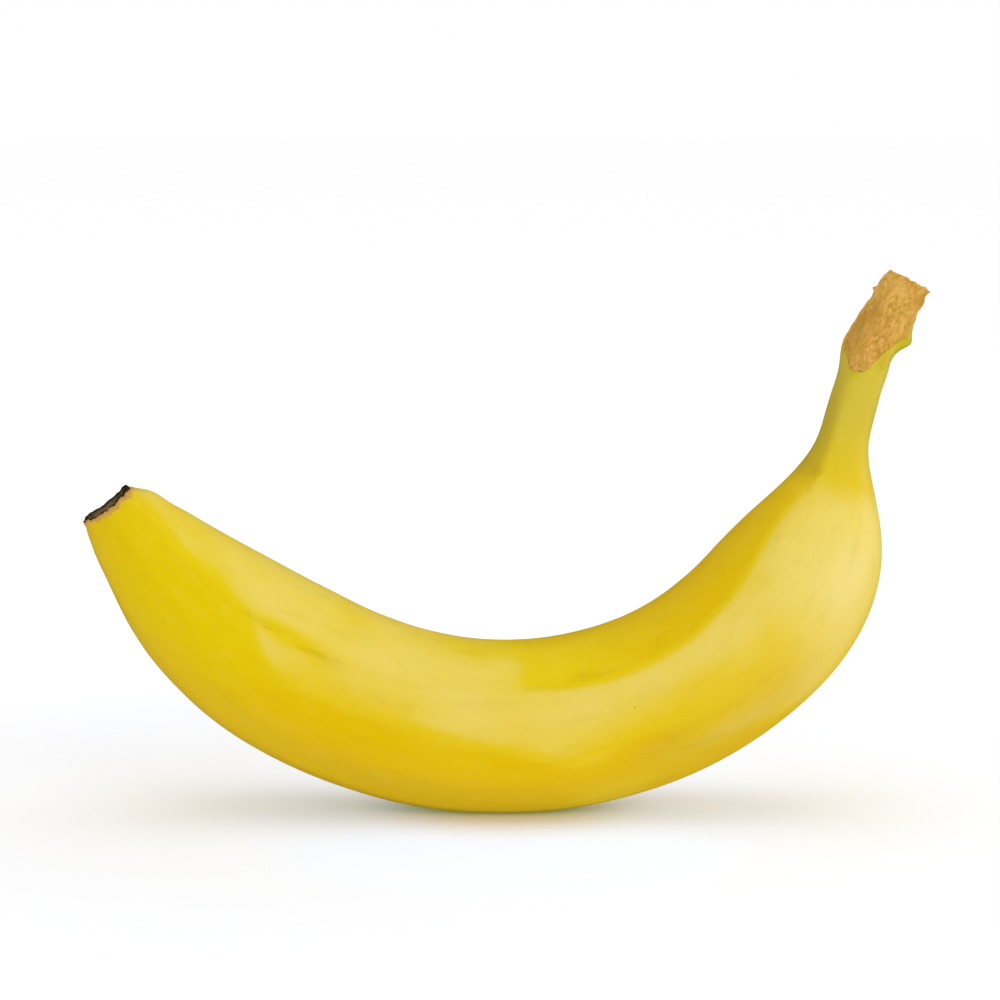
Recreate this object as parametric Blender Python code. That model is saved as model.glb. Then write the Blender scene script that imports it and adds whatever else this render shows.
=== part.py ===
"""A ripe banana, picked from its bunch and balanced on its rounded back.

It grew as one piece, so it is one closed solid. A centreline runs from the blossom end,
along the bowed body, up the shoulder and the neck to the crown, where the fruit was torn
from its bunch. Five-ridged sections are lofted along it. The finished fruit is turned
until it balances, and the skin under it is pressed flat, because it rests on that face.

Frame: +Z up, +X from the blossom end towards the crown, the bow in the XZ plane, the
front towards -Y. The origin is at the bottom centre of the bounding box. Metres.
"""

import math

import bmesh
import bpy
import numpy as np
from mathutils import Matrix

# Lengths along the centreline, from the blossom end to the crown's torn face.
BODY_LENGTH = 0.1460
SHOULDER_LENGTH = 0.0530
NECK_LENGTH = 0.0137
CROWN_LENGTH = 0.0200

# Distances along the centreline to where each stretch ends.
BODY_END = BODY_LENGTH
SHOULDER_END = BODY_END + SHOULDER_LENGTH
NECK_END = SHOULDER_END + NECK_LENGTH
CROWN_END = NECK_END + CROWN_LENGTH

# Widths across the bow, from the inner to the outer skin.
TIP_WIDTH = 0.0108
BODY_WIDTH = 0.0361
SHOULDER_WIDTH = 0.0354
NECK_WIDTH = 0.0097
CROWN_WIDTH = 0.0117
CROWN_END_WIDTH = 0.0096

# Thickness from front to back, as a share of the width.
BODY_FLATNESS = 0.97
CROWN_FLATNESS = 0.84

# Where the centreline is headed, in degrees above +X: at even steps along the body, and
# then at the ends of the shoulder, the neck and the crown.
BODY_HEADINGS = (-52.6, -38.0, -16.5, 9.0, 37.6)
SHOULDER_HEADING = 77.0
NECK_HEADING = 68.7
CROWN_HEADING = 56.5

# The blossom end swells to the full width over this length; a lower power is blunter.
TIP_TAPER = 0.0548
TIP_POWER = 0.74
# The shoulder narrows late and fast: the power says how late.
SHOULDER_POWER = 2.0
# The crown is widest at this share of its length.
CROWN_PEAK = 0.4

# The scar at the blossom end: its edge is rounded over this length and depth.
SCAR_EDGE_LENGTH = 0.0007
SCAR_EDGE_DEPTH = 0.0006

# Where the five ridges run round a section, in degrees from the outer side of the bow
# towards the front. They turn slowly round the fruit from one end to the other.
TIP_RIDGES = (114.0, 88.0, 43.0, -30.0, -105.0)
MIDDLE_RIDGES = (121.0, 76.0, 32.0, -40.0, -118.0)
SHOULDER_RIDGES = (128.0, 65.0, 8.0, -60.0, -136.0)
NECK_RIDGES = (126.0, 57.0, -14.0, -86.0, -158.0)

# How far a ridge stands proud, as a share of the radius, and how narrow it is.
BODY_RIDGE_RISE = 0.035
NECK_RIDGE_RISE = 0.100
BODY_RIDGE_SHARPNESS = 14.0
NECK_RIDGE_SHARPNESS = 7.0

# How deep the skin is pressed flat where the fruit rests.
REST_DEPTH = 0.0008

# How far the crown is raised from the turn at which the fruit balances, in degrees. The
# flat face holds it there.
CROWN_LIFT = 2.2
# The search for the turn that balances the fruit, in degrees, and how finely it looks.
MOST_TURN = 30.0
BACK_SAMPLES = 1201

# Mesh density, and the rings' crowding towards the shoulder, the neck and the crown.
RINGS = 84
POINTS_PER_RING = 40
CROWDING = 0.35

PEEL_COLOUR = (0.80, 0.60, 0.05, 1.0)
PEEL_ROUGHNESS = 0.45


def smooth_step(share):
    """Eases from 0 to 1 as share goes from 0 to 1, flat at both ends."""
    share = np.clip(share, 0.0, 1.0)
    return share * share * (3.0 - 2.0 * share)


def smooth_curve(knots, values, at):
    """A smooth curve through the values at the knots, read at the given places."""
    knots = np.asarray(knots, float)
    values = np.asarray(values, float)
    slopes = np.gradient(values, knots)
    cell = np.clip(np.searchsorted(knots, at, side="right") - 1, 0, len(knots) - 2)
    width = knots[cell + 1] - knots[cell]
    share = (at - knots[cell]) / width
    start_weight = (1.0 + 2.0 * share) * (1.0 - share) ** 2
    end_weight = share**2 * (3.0 - 2.0 * share)
    start_pull = share * (1.0 - share) ** 2 * width
    end_pull = share**2 * (share - 1.0) * width
    return (
        start_weight * values[cell]
        + end_weight * values[cell + 1]
        + start_pull * slopes[cell]
        + end_pull * slopes[cell + 1]
    )


def ring_places():
    """Distances along the centreline of the rings, closer together towards the crown."""
    share = np.linspace(0.0, 1.0, RINGS - 1)
    crowded = share + CROWDING * share * (1.0 - share)
    places = crowded * CROWN_END
    return np.insert(places, 1, SCAR_EDGE_LENGTH)


def headings(along):
    """The centreline's heading, in radians."""
    body_knots = np.linspace(0.0, BODY_END, len(BODY_HEADINGS))
    knots = [*body_knots, SHOULDER_END, NECK_END, CROWN_END]
    values = [*BODY_HEADINGS, SHOULDER_HEADING, NECK_HEADING, CROWN_HEADING]
    return np.radians(smooth_curve(knots, values, along))


def centreline(along):
    """The centreline's X and Z, found by walking along its headings."""
    step = np.diff(along)
    middle = headings(along[:-1] + step / 2.0)
    x = np.concatenate([[0.0], np.cumsum(step * np.cos(middle))])
    z = np.concatenate([[0.0], np.cumsum(step * np.sin(middle))])
    return x, z


def radii(along):
    """Half of the width across the bow."""
    slimming = smooth_step((along - TIP_TAPER) / (BODY_END - TIP_TAPER))
    full = BODY_WIDTH + (SHOULDER_WIDTH - BODY_WIDTH) * slimming
    swell = np.sin(np.clip(along / TIP_TAPER, 0.0, 1.0) * math.pi / 2.0) ** TIP_POWER
    width = TIP_WIDTH + (full - TIP_WIDTH) * swell
    down_shoulder = np.clip((along - BODY_END) / SHOULDER_LENGTH, 0.0, 1.0)
    width += (NECK_WIDTH - width) * smooth_step(down_shoulder**SHOULDER_POWER)
    along_crown = (along - NECK_END) / CROWN_LENGTH
    width += (CROWN_WIDTH - NECK_WIDTH) * smooth_step(along_crown / CROWN_PEAK)
    past_peak = (along_crown - CROWN_PEAK) / (1.0 - CROWN_PEAK)
    width += (CROWN_END_WIDTH - CROWN_WIDTH) * smooth_step(past_peak)
    scar_edge = np.clip(1.0 - along / SCAR_EDGE_LENGTH, 0.0, 1.0)
    return width / 2.0 - SCAR_EDGE_DEPTH * scar_edge


def flatness(along):
    """Thickness from front to back as a share of the width."""
    into_crown = smooth_step((along - SHOULDER_END) / (CROWN_END - SHOULDER_END))
    return BODY_FLATNESS + (CROWN_FLATNESS - BODY_FLATNESS) * into_crown


def ridge_angles(along):
    """The five ridges' places round each section, in radians: one row for each place."""
    mid_shoulder = (BODY_END + SHOULDER_END) / 2.0
    knots = [0.0, BODY_END / 2.0, mid_shoulder, NECK_END, CROWN_END]
    stations = [TIP_RIDGES, MIDDLE_RIDGES, SHOULDER_RIDGES, NECK_RIDGES, NECK_RIDGES]
    tracks = [smooth_curve(knots, track, along) for track in zip(*stations)]
    return np.radians(np.stack(tracks, axis=1))


def section_shares(along):
    """Each ring's outline, as shares of its radius: outward and towards the front.

    A circle carries five soft ridges. The outline is then fitted to its width again, so
    that a change to the ridges leaves the fruit's widths as they are.
    """
    into_neck = smooth_step((along - BODY_END) / SHOULDER_LENGTH)[:, None, None]
    rise = BODY_RIDGE_RISE + (NECK_RIDGE_RISE - BODY_RIDGE_RISE) * into_neck
    sharpness = BODY_RIDGE_SHARPNESS + (NECK_RIDGE_SHARPNESS - BODY_RIDGE_SHARPNESS) * into_neck
    angle = np.arange(POINTS_PER_RING) * 2.0 * math.pi / POINTS_PER_RING
    from_ridge = angle[None, :, None] - ridge_angles(along)[:, None, :]
    ridges = rise * np.exp(sharpness * (np.cos(from_ridge) - 1.0))
    reach = 1.0 + ridges.sum(axis=2)
    outline = np.stack([reach * np.cos(angle), reach * np.sin(angle)], axis=2)
    low = outline.min(axis=1, keepdims=True)
    high = outline.max(axis=1, keepdims=True)
    return (2.0 * outline - low - high) / (high - low)


def fruit_points():
    """The skin's points, one row for each ring."""
    along = ring_places()
    x, z = centreline(along)
    heading = headings(along)
    radius = radii(along)
    shares = section_shares(along)
    outward = shares[:, :, 0] * radius[:, None]
    forward = shares[:, :, 1] * (radius * flatness(along))[:, None]
    points_x = x[:, None] + np.sin(heading)[:, None] * outward
    points_z = z[:, None] - np.cos(heading)[:, None] * outward
    return np.stack([points_x, -forward, points_z], axis=2)


def loft(points):
    """A closed mesh through the rings, with one flat face on each end."""
    mesh = bmesh.new()
    rings = [[mesh.verts.new(point) for point in ring] for ring in points]
    for ring, following in zip(rings[:-1], rings[1:]):
        for i in range(len(ring)):
            j = (i + 1) % len(ring)
            mesh.faces.new((ring[i], following[i], following[j], ring[j]))
    mesh.faces.new(rings[0])
    mesh.faces.new(reversed(rings[-1]))
    bmesh.ops.recalc_face_normals(mesh, faces=mesh.faces)
    return mesh


def centre_of_mass(mesh):
    """The centre of the solid, from the tetrahedra between the origin and its faces."""
    moment = np.zeros(3)
    volume = 0.0
    for triangle in mesh.calc_loop_triangles():
        a, b, c = (np.array(loop.vert.co) for loop in triangle)
        weight = np.dot(a, np.cross(b, c)) / 6.0
        moment += weight * (a + b + c) / 4.0
        volume += weight
    return moment / volume


def balance(mesh):
    """Turns the fruit in the XZ plane to its lowest centre of mass, and lifts the crown."""
    centre = centre_of_mass(mesh)
    along = np.linspace(0.0, CROWN_END, BACK_SAMPLES)
    x, z = centreline(along)
    heading, radius = headings(along), radii(along)
    back_x = x + radius * np.sin(heading) - centre[0]
    back_z = z - radius * np.cos(heading) - centre[2]
    turns = np.radians(np.linspace(-MOST_TURN, MOST_TURN, BACK_SAMPLES))
    heights = np.outer(back_x, np.sin(turns)) - np.outer(back_z, np.cos(turns))
    turn = turns[np.argmin(heights.max(axis=0))] - math.radians(CROWN_LIFT)
    bmesh.ops.rotate(mesh, verts=mesh.verts, matrix=Matrix.Rotation(turn, 3, "Y"))


def press_rest_face(mesh):
    """Cuts the lowest skin off flat, and puts the origin at the bottom centre."""
    lowest = min(vertex.co.z for vertex in mesh.verts)
    everything = [*mesh.verts, *mesh.edges, *mesh.faces]
    rest = (0.0, 0.0, lowest + REST_DEPTH)
    cut = bmesh.ops.bisect_plane(
        mesh, geom=everything, plane_co=rest, plane_no=(0.0, 0.0, -1.0), clear_outer=True
    )
    rim = [item for item in cut["geom_cut"] if isinstance(item, bmesh.types.BMEdge)]
    bmesh.ops.contextual_create(mesh, geom=rim)
    bmesh.ops.recalc_face_normals(mesh, faces=mesh.faces)
    points = np.array([vertex.co for vertex in mesh.verts])
    low, high = points.min(axis=0), points.max(axis=0)
    middle = (low + high) / 2.0
    bmesh.ops.translate(mesh, verts=mesh.verts, vec=(-middle[0], -middle[1], -low[2]))


def peel_material():
    material = bpy.data.materials.new("peel")
    material.use_nodes = True
    shader = material.node_tree.nodes["Principled BSDF"]
    shader.inputs["Base Color"].default_value = PEEL_COLOUR
    shader.inputs["Roughness"].default_value = PEEL_ROUGHNESS
    shader.inputs["Metallic"].default_value = 0.0
    return material


def make_banana():
    fruit = loft(fruit_points())
    balance(fruit)
    press_rest_face(fruit)
    mesh = bpy.data.meshes.new("banana")
    fruit.to_mesh(mesh)
    fruit.free()
    mesh.shade_smooth()
    mesh.set_sharp_from_angle(angle=math.radians(35.0))
    mesh.materials.append(peel_material())
    banana = bpy.data.objects.new("banana", mesh)
    bpy.context.scene.collection.objects.link(banana)


for scene_object in list(bpy.data.objects):
    bpy.data.objects.remove(scene_object, do_unlink=True)
make_banana()
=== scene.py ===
"""The looks of a ripe banana that rests on its rounded back.

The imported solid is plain. This script reads its surface, straightens it out into rings
along a centreline, and builds a fine skin on the same shape: the torn corky crown, the
dry scar at the blossom end, faint ridges and a peel with marks, all in one piece.

Places on the skin are given as a distance along the centreline from the blossom end, and
an angle round it: 0 degrees is the outer side of the bow, 90 the front, 180 the inner
side. Lengths are in metres.
"""

import math

import bpy
import numpy as np
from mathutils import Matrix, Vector, noise
from mathutils.bvhtree import BVHTree


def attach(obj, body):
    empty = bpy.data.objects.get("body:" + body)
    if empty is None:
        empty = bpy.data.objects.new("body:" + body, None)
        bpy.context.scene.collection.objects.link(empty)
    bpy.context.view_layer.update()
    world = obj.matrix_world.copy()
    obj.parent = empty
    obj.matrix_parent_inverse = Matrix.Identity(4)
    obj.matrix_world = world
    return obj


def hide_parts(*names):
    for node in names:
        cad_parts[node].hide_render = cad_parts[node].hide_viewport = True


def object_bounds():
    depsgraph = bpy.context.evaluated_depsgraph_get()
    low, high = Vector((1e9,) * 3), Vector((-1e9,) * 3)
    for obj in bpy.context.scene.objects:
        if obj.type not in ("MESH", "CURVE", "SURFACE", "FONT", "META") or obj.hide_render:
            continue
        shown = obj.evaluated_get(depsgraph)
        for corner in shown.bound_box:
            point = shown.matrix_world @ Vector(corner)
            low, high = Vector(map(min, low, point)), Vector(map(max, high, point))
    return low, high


MM = 0.001

# Reading the solid: the centreline's steps, how fast it turns, where it stops before an
# end, how far round it a slice reaches, how often it is smoothed, and the coarse grid on
# which the skin's distance is measured.
SPINE_STEP = 1.0 * MM
SPINE_TURN = 0.15
END_MARGIN = 4.0 * MM
SLICE_REACH = 50.0 * MM
SPINE_PASSES = 12
COARSE_PASSES = 2
COARSE_RINGS = 130
COARSE_SPOKES = 64
COARSE_END_GAP = 0.9 * MM

# The fine skin's rings: how far apart they are at the scar, on the body and at the crown.
SPOKES = 176
SCAR_SPACING = 0.22 * MM
BODY_SPACING = 0.62 * MM
CROWN_SPACING = 0.28 * MM
SCAR_REACH = 5.0 * MM
CROWN_REACH = 42.0 * MM
CAP_RINGS = 22
SEAM_ANGLE = math.radians(-60.0)

# Where the five ridges run, in degrees round the skin, at these distances.
RIDGE_STATIONS = (0.0, 73.0 * MM, 172.5 * MM, 212.7 * MM, 232.7 * MM)
RIDGE_TRACKS = (
    (114.0, 121.0, 128.0, 126.0, 126.0),
    (88.0, 76.0, 65.0, 57.0, 57.0),
    (43.0, 32.0, 8.0, -14.0, -14.0),
    (-30.0, -40.0, -60.0, -86.0, -86.0),
    (-105.0, -118.0, -136.0, -158.0, -158.0),
)
RIDGE_RISE = 0.16 * MM
RIDGE_WIDTH = 1.5 * MM
RIDGE_TAPER = 30.0 * MM

# Slow swellings and fine ripples of the whole peel.
SWELL_RISE = 0.16 * MM
RIPPLE_RISE = 0.035 * MM

# The scar's dark crust: where its edge is along the centreline, its height, the share of
# that height left in front, how far it is set in, how sharply it ends and how rough it is.
CRUST_TOP = -0.3 * MM
CRUST_HEIGHT = 0.9 * MM
CRUST_FRONT = 0.15
CRUST_INSET = 0.4 * MM
CRUST_EDGE = 0.5 * MM
CRUST_RELIEF = 0.22 * MM
CRUST_RAGGED = 0.26 * MM

# How far the scar's edge is worn down in front, and how far its corners stand out.
FRONT_WEAR = 0.85 * MM
OUTER_CORNER = 0.75 * MM
INNER_CORNER = 0.4 * MM

# Where these are round the skin, as a middle and a width in degrees. The outer corner is
# there twice, to both sides of the outer side of the bow.
CRUST_FRONT_TURN = (60.0, 75.0)
FRONT_WEAR_TURN = (95.0, 62.0)
OUTER_CORNER_TURN = (32.0, 30.0)
INNER_CORNER_TURN = (190.0, 38.0)

# The scar's face: its depth at the edge, how far it bulges in the middle, its roughness,
# and the share of the way in over which its wall goes down.
SCAR_DEPTH = 1.6 * MM
SCAR_BULGE = 0.5 * MM
SCAR_ROUGHNESS = 0.3 * MM
SCAR_WALL = 0.3

# Swellings and a dent near the blossom end: mm from that end, degrees round it, half length
# and half width in mm, and the rise in mm.
TIP_LUMPS = (
    (4.0, 180.0, 3.2, 7.0, 0.95),
    (10.0, 180.0, 6.0, 8.0, 0.45),
    (12.5, 5.0, 7.5, 7.0, -0.65),
)

# The cork: how far from the torn end it reaches down the crown, in mm by degrees.
CORK_EDGE_ANGLES = (0.0, 32.0, 55.0, 75.0, 95.0, 115.0, 135.0, 155.0, 180.0, 230.0, 280.0, 320.0)
CORK_EDGE_MM = (8.2, 9.3, 12.2, 15.6, 19.2, 20.8, 20.6, 18.8, 16.2, 15.0, 13.0, 9.5)

# How far that edge wanders and how sharp it is, the fibres' relief, how far the cork lies
# below the peel, and the lip of peel along its edge.
CORK_WARP = 0.8 * MM
CORK_EDGE = 0.6 * MM
CORK_RELIEF = 0.42 * MM
CORK_SINK = 0.15 * MM
CORK_LIP = 0.16 * MM
CORK_LIP_WIDTH = 0.45 * MM

# The torn end's edge: how far it rises to either side of the inner side, where, as degrees
# off that side and a width, and how ragged it is.
TORN_RISE = 0.5 * MM
TORN_RISE_TURN = (75.0, 38.0)
TORN_RAGGED = 0.55 * MM

# The torn end's face: how far it is hollow in the middle, its roughness and its wall.
TORN_HOLLOW = 0.5 * MM
TORN_ROUGHNESS = 0.8 * MM
TORN_WALL = 0.35

# Noise that shapes the skin: the size of its features, its octaves, and an offset that
# keeps it apart from the others. The two edges run round a circle with a radius of 1.
CRUST_EDGE_NOISE = (0.30, 4, 7.0)
TORN_EDGE_NOISE = (0.5, 3, 31.0)
CRUST_HEIGHT_NOISE = (1.1 * MM, 2, 3.0)
CRUST_NOISE = (0.9 * MM, 3, 11.0)
CORK_WARP_NOISE = (2.6 * MM, 3, 5.0)
FIBRE_NOISE = (1.6 * MM, 4, 17.0)
LIP_NOISE = (1.2 * MM, 1, 23.0)
SWELL_NOISE = (15.0 * MM, 2, 2.0)
RIPPLE_NOISE = (3.5 * MM, 2, 9.0)
INNER_WARP_NOISE = (12.0 * MM, 2, 61.0)
SCAR_FACE_NOISE = (1.1 * MM, 4, 41.0)
TORN_FACE_NOISE = (1.1 * MM, 4, 53.0)

# How much shorter a stretched noise reads the fruit's length.
FIBRE_GRAIN = (0.45, 1.0, 1.0)
SWELL_GRAIN = (0.6, 1.0, 1.0)
RIPPLE_GRAIN = (0.5, 1.0, 1.0)
FACE_GRAIN = 0.3

# Lumps and chips on the crown: mm from the torn end, degrees round it, half length and
# half width in mm, and the rise in mm.
CROWN_LUMPS = (
    (11.2, 12.0, 1.7, 3.2, 0.9),
    (1.0, 5.0, 1.8, 4.0, -0.8),
    (6.0, 5.0, 4.0, 5.0, -0.8),
    (15.4, 8.0, 3.4, 5.0, -1.4),
    (2.0, 180.0, 3.0, 5.0, 1.0),
    (4.6, 182.0, 0.45, 1.2, 0.9),
    (8.0, 180.0, 3.0, 5.0, 0.4),
    (12.0, 180.0, 3.0, 5.0, 0.15),
    (17.0, 180.0, 3.8, 5.0, 1.2),
    (22.0, 8.0, 4.0, 5.0, -0.3),
    (8.0, 95.0, 3.5, 2.2, 0.35),
    (9.0, 250.0, 3.0, 2.5, 0.5),
    (4.0, 300.0, 2.0, 2.2, -0.5),
)

# Darker places on the cork, above 0, and lighter ones, given the same way. The darker places
# towards its inner side, from 125 to 165 degrees, are painted shade.
CORK_TINTS = (
    (11.0, 142.0, 5.0, 3.5, 0.8),
    (18.0, 125.0, 2.0, 2.5, 0.5),
    (2.5, 112.0, 2.5, 2.5, -0.7),
    (8.5, 85.0, 3.0, 2.5, -0.5),
    (16.0, 105.0, 2.5, 2.0, -0.4),
    (2.2, 38.0, 2.0, 2.0, 0.9),
    (8.0, 42.0, 3.0, 2.0, 0.7),
    (1.6, 12.0, 1.6, 2.2, 0.9),
    (15.5, 165.0, 4.0, 1.6, 0.7),
)

# The tint of plain peel, and how much more it is where the yellow is deep. A tint below 0
# paints a pale sheen onto the peel, and a tint above 0 paints shade as a deeper yellow.
PLAIN_TINT = -0.35
DEEP_TINT = 1.15

# Painted shade: the outer side of the bow is painted a deeper yellow, with no painted sheen,
# up to these degrees to either side of it.
DEEP_EDGE_MM = (0.0, 10.0, 20.0, 32.0, 38.0, 46.0, 60.0, 85.0, 102.0, 118.0, 128.0, 140.0, 165.0)
DEEP_EDGE_DEGREES = (
    *(152.0, 134.0, 122.0, 119.0, 111.0, 93.0, 91.0),
    *(92.0, 79.0, 61.0, 53.0, 44.0, -10.0),
)
DEEP_EDGE_WIDTH = 5.0 * MM

# The same painted shade on the inner side of the bow, where the peel turns away from the
# sheen: its edge in front by mm, how soft that is, its edge behind, where it starts and
# stops, and how far its start wanders.
INNER_EDGE_MM = (90.0, 114.0, 142.0, 160.0, 184.0, 200.0)
INNER_EDGE_DEGREES = (132.0, 124.0, 123.0, 128.0, 135.0, 117.0)
INNER_EDGE_WIDTH = 3.0 * MM
INNER_BACK = 214.0
INNER_START = (98.0 * MM, 114.0 * MM)
INNER_STOP = (186.0 * MM, 197.0 * MM)
INNER_WARP = 8.0 * MM

# The olive facet on the inner side of the neck, darkened as painted shade: its edges in front
# and behind, where it starts and fades, the share that is lost there, and how soft its edges
# are.
FACET_EDGE = 127.0
FACET_BACK = 230.0
FACET_START = (186.0 * MM, 193.0 * MM)
FACET_FADE = (198.0 * MM, 214.0 * MM)
FACET_LOSS = 0.6
FACET_WIDTH = 2.6 * MM

# Broad tints of the peel, partly its own tone but mostly painted light: mm from the blossom
# end, degrees round it, half length and half width in mm, and how deep the yellow is (above
# 0, painted shade) or how pale (below 0, a painted sheen and highlight).
TINTS = (
    (124.0, 68.0, 12.0, 3.4, 1.3),
    (45.0, 118.5, 9.0, 2.0, 0.8),
    (24.0, 121.0, 5.0, 3.0, 0.5),
    (115.0, 36.0, 9.0, 6.0, -0.8),
    (66.0, 126.0, 30.0, 7.0, -0.4),
    (114.0, 103.0, 9.0, 6.0, -0.35),
    (133.0, 112.0, 22.0, 5.0, -0.45),
    (100.0, 80.0, 6.0, 4.0, 0.4),
    (173.0, 66.0, 12.0, 11.0, -1.2),
    (193.0, 80.0, 5.0, 18.0, 0.5),
    (60.0, 230.0, 30.0, 9.0, -0.4),
    (165.0, 250.0, 18.0, 9.0, -0.6),
    (130.0, 200.0, 25.0, 7.0, 0.4),
)

# Painted shade: where the peel is painted browner to darken it, given the same way.
SHADES = (
    (145.0, 54.0, 22.0, 9.0, 0.65),
    (127.0, 67.0, 7.0, 3.0, 0.4),
    (72.0, 51.0, 48.0, 5.0, 0.5),
)

# Where the deep yellow is cooler, given the same way.
LEMON_PLACES = (
    (26.0, 95.0, 26.0, 16.0, 1.0),
    (112.0, 145.0, 20.0, 9.0, 0.9),
    (60.0, 150.0, 40.0, 10.0, 0.5),
)

# Bruises and rubbed places, given the same way, with their strength.
MARKS = (
    (45.0, 116.5, 11.0, 0.8, 0.8),
    (58.0, 119.0, 5.0, 0.7, 0.5),
    (116.0, 131.0, 4.0, 1.2, 0.45),
    (124.0, 126.0, 7.0, 1.2, 0.45),
    (130.0, 55.0, 12.0, 6.0, 0.4),
    (190.0, 128.0, 4.0, 1.8, 0.8),
    (216.0, 62.0, 3.0, 1.6, 0.6),
    (96.0, 250.0, 12.0, 1.2, 0.6),
    (150.0, 300.0, 6.0, 2.0, 0.5),
    (30.0, 320.0, 5.0, 1.2, 0.6),
)

# Where the peel is still green: mm from the torn end, then as above.
UNRIPE = (
    (11.5, 20.0, 3.0, 5.0, 1.0),
    (21.5, 122.0, 1.0, 2.0, 0.6),
)

# The flat face that the fruit rests on: how deep its edge settles, and how many times that
# the skin above it gives way.
SETTLE = 0.08 * MM
SETTLE_SPREAD = 6.0

# The camera, placed by the fruit's own box: the share of the picture's width that the box
# fills, where it aims, off the box's middle as a share of its length and up from its base as
# a share of its height, how far down it looks, its lens, and how far it sees.
PICTURE_SHARE = 0.8415
AIM_SIDE = -0.0082
AIM_HEIGHT = 0.5775
ELEVATION = math.radians(8.0)
LENS = 110.0
SENSOR = 36.0
FARTHEST = 20.0

# The floor: its size, the colour and glow that light the fruit from below, and the paler
# colour and glow that the camera sees. The glow it sees changes with the distance from the
# middle, in metres, and stays as it is past the last stop. It is weakest near the middle,
# which paints a shadow on the floor: dark where the fruit rests, and faint and broad round it.
FLOOR_RADIUS = 6.0
FLOOR_SIDES = 96
FLOOR_COLOUR = (0.98, 0.82, 0.76, 1.0)
FLOOR_GLOW = (0.12, 0.24, 0.32, 1.0)
FLOOR_SHOWN = (0.98, 0.98, 0.98, 1.0)
FLOOR_GLOW_RANGE = 0.5
FLOOR_GLOW_SHADOW_STOPS = (
    (0.008, (0.000, 0.000, 0.020, 1.0)),
    (0.032, (0.065, 0.145, 0.285, 1.0)),
    (0.080, (0.098, 0.112, 0.145, 1.0)),
    (0.240, (0.200, 0.200, 0.200, 1.0)),
)

# The lights: an even surround, a soft ceiling, a key light in front and a rim light behind.
LIT_MIDDLE = (0.0, 0.0, 0.06)
SURROUND_SHOWN = 1.0
SURROUND_LIGHT = 0.67
CEILING_STRENGTH = 0.55
CEILING_SPREAD = math.radians(50.0)
KEY_PLACE = (0.75, -0.85, 0.35)
KEY_SIDE = 0.8
KEY_WATTS = 2.7
RIM_PLACE = (1.0, 0.45, 0.25)
RIM_SIDE = 0.7
RIM_WATTS = 1.6


# ---------------------------------------------------------------- reading the solid


def read_solid(name):
    """A CAD node's points and triangles."""
    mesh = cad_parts[name].data
    mesh.calc_loop_triangles()
    points = np.zeros(len(mesh.vertices) * 3)
    mesh.vertices.foreach_get("co", points)
    triangles = np.zeros(len(mesh.loop_triangles) * 3, np.int64)
    mesh.loop_triangles.foreach_get("vertices", triangles)
    return points.reshape(-1, 3), triangles.reshape(-1, 3)


def slice_centre(corners, origin, normal):
    """The centre of area of the solid's slice through the origin."""
    height = (corners - origin) @ normal
    near = np.linalg.norm(corners.mean(axis=1) - origin, axis=1) < SLICE_REACH
    above = height > 0.0
    count = above.sum(axis=1)
    cut = near & (count > 0) & (count < 3)
    corners, height, above, count = corners[cut], height[cut], above[cut], count[cut]
    lone_side = (count == 1)[:, None] == above
    first = lone_side.argmax(axis=1)
    rows = np.arange(len(first))
    order = [first, (first + 1) % 3, (first + 2) % 3]
    lone, following, previous = (corners[rows, index] for index in order)
    high, high_following, high_previous = (height[rows, index][:, None] for index in order)
    start = lone + (following - lone) * high / (high - high_following)
    end = lone + (previous - lone) * high / (high - high_previous)
    flip = (count == 2)[:, None]
    start, end = np.where(flip, end, start) - origin, np.where(flip, start, end) - origin
    twice_area = np.cross(start, end) @ normal
    return origin + ((start + end) * twice_area[:, None]).sum(axis=0) / (3.0 * twice_area.sum())


def walk(corners, tree, start, direction):
    """Centres of slices from the start to the end face that the direction leads to."""
    centres = [start]
    while True:
        ahead = tree.ray_cast(Vector(centres[-1]), Vector(direction))[3]
        if ahead is None or ahead < END_MARGIN:
            break
        centre = slice_centre(corners, centres[-1] + SPINE_STEP * direction, direction)
        moved = centre - centres[-1]
        direction = direction + SPINE_TURN * (moved / np.linalg.norm(moved) - direction)
        direction /= np.linalg.norm(direction)
        centres.append(centre)
    end_face = tree.ray_cast(Vector(centres[-1]), Vector(direction))[0]
    return [*centres, np.array(end_face)]


def smooth_rows(rows, passes):
    """Each row blended with its neighbours; the first and last stay."""
    for _ in range(passes):
        rows = rows.copy()
        rows[1:-1] = (rows[:-2] + 2.0 * rows[1:-1] + rows[2:]) / 4.0
    return rows


def trace_spine(corners, tree, middle):
    """The centreline's points from the blossom end to the crown, and their distances."""
    along_x = np.array([1.0, 0.0, 0.0])
    start = slice_centre(corners, middle, along_x)
    to_crown = walk(corners, tree, start, along_x)
    to_scar = walk(corners, tree, start, -along_x)
    points = smooth_rows(np.array([*to_scar[::-1], *to_crown[1:]]), SPINE_PASSES)
    steps = np.linalg.norm(np.diff(points, axis=0), axis=1)
    return points, np.concatenate([[0.0], np.cumsum(steps)])


def read_rows(rows, distances, at):
    """Rows of three numbers, read between the distances that they belong to."""
    return np.stack([np.interp(at, distances, column) for column in rows.T], axis=1)


def along_spine(spine, distances, at):
    """Centres and the three directions of the rings at these distances.

    The front is the direction towards -Y, made square to the centreline.
    """
    centre = read_rows(spine, distances, at)
    slopes = smooth_rows(np.gradient(spine, distances, axis=0), SPINE_PASSES)
    tangent = read_rows(slopes, distances, at)
    tangent /= np.linalg.norm(tangent, axis=1)[:, None]
    front = np.array([0.0, -1.0, 0.0]) - tangent * -tangent[:, 1:2]
    front /= np.linalg.norm(front, axis=1)[:, None]
    outward = np.cross(tangent, front)
    return centre, tangent, outward, front


def spoke_directions(outward, front, angles):
    """Each ring's directions away from the centreline, at these angles."""
    cos, sin = np.cos(angles)[None, :, None], np.sin(angles)[None, :, None]
    return outward[:, None, :] * cos + front[:, None, :] * sin


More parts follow.
